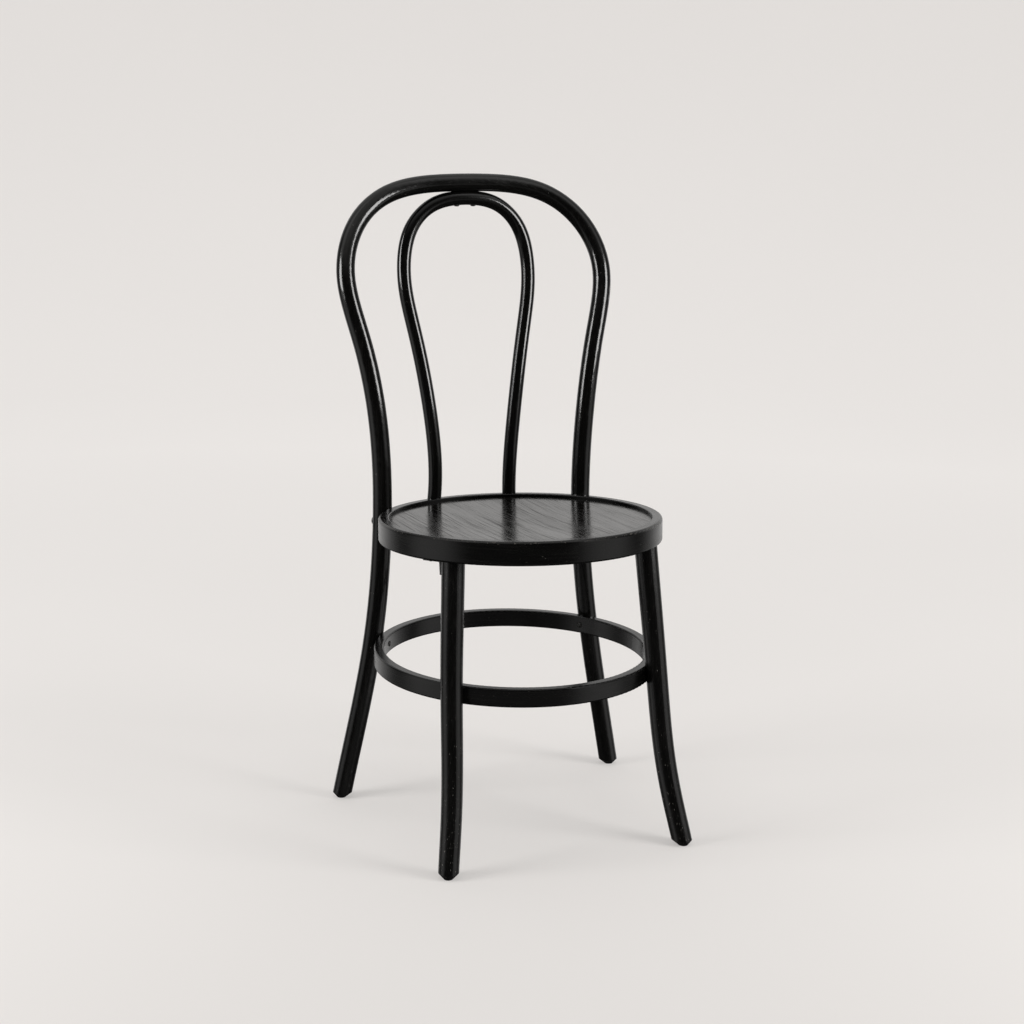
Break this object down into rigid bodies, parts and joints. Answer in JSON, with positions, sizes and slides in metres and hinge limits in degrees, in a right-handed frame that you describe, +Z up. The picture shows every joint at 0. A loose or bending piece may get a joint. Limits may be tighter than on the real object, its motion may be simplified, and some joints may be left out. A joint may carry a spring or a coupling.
{
  "type": "bentwood bistro chair",
  "caption": "Black bentwood bistro chair: a back hoop that runs down into the rear legs, an inner hoop, a round seat with a let-in panel, turned front legs and a ring between the legs.",
  "frame": {"origin": "on the floor, below the middle of the chair's box", "axes": "+Z up, the sitter faces -Y, so the back hoop is on the +Y side; +X is to the right as seen from the front"},
  "size_m": [0.4614, 0.453, 0.905],
  "materials": {
    "black_wood": "black satin lacquer over bent beech",
    "black_panel": "black semi-gloss lacquer over a thin pressed panel",
    "dark_steel": "blackened",
    "plated_steel": "zinc plated"
  },
  "bodies": {
    "root": {"back_hoop": "black_wood", "inner_hoop": "black_wood", "seat_ring": "black_wood", "seat_panel": "black_panel", "leg_ring": "black_wood", "front_leg_left": "black_wood", "front_leg_right": "black_wood", "back_bolt_left": "dark_steel", "back_bolt_right": "dark_steel", "back_washer_left": "plated_steel", "back_washer_right": "plated_steel", "back_nut_left": "plated_steel", "back_nut_right": "plated_steel", "crown_screw_left": "dark_steel", "crown_screw_right": "dark_steel", "hoop_foot_screw_left": "dark_steel", "hoop_foot_screw_right": "dark_steel", "leg_ring_screw_front_left": "dark_steel", "leg_ring_screw_front_right": "dark_steel", "leg_ring_screw_rear_left": "dark_steel", "leg_ring_screw_rear_right": "dark_steel", "corner_bracket_left": "dark_steel", "corner_bracket_right": "dark_steel", "bracket_screws_left": "dark_steel", "bracket_screws_right": "dark_steel"}
  },
  "joints": []
}
